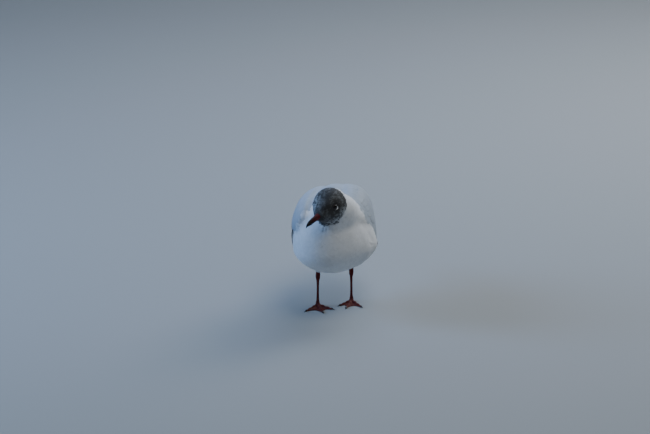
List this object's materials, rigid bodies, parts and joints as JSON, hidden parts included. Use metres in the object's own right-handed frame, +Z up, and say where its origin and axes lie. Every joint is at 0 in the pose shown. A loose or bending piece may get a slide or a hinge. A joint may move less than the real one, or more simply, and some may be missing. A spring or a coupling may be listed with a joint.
{
  "type": "seagull",
  "caption": "Black-headed gull standing hunched on both webbed feet, wings folded over the tail, dark hooded head turned to its right and tipped down.",
  "frame": {"origin": "on the floor under the middle of the bounding box", "axes": "+Z up; the bird faces -Y, its left side is +X and its tail points along +Y"},
  "size_m": [0.1208, 0.3316, 0.1982],
  "materials": {
    "white_plumage": "soft white feathers, matte",
    "grey_plumage": "pale blue-grey feathers, matte",
    "black_primaries": "black feathers, slight sheen",
    "dark_hood": "charcoal-brown short feathers, matte",
    "eye_dark": "wet, glossy",
    "bill_red": "horny sheath, dark red with a black tip",
    "leg_red": "scaly skin, dark red",
    "claw_black": "black horn"
  },
  "bodies": {
    "root": {"trunk": "white_plumage", "neck": "white_plumage", "tail": "white_plumage", "thigh_left": "white_plumage", "thigh_right": "white_plumage", "wing_left": "grey_plumage", "wing_right": "grey_plumage", "wing_tip_left": "black_primaries", "wing_tip_right": "black_primaries", "head": "dark_hood", "eye_left": "eye_dark", "eye_right": "eye_dark", "bill_upper": "bill_red", "bill_lower": "bill_red", "leg_left": "leg_red", "leg_right": "leg_red", "foot_left": "leg_red", "foot_right": "leg_red", "claw_inner_left": "claw_black", "claw_middle_left": "claw_black", "claw_outer_left": "claw_black", "claw_inner_right": "claw_black", "claw_middle_right": "claw_black", "claw_outer_right": "claw_black"}
  },
  "joints": []
}
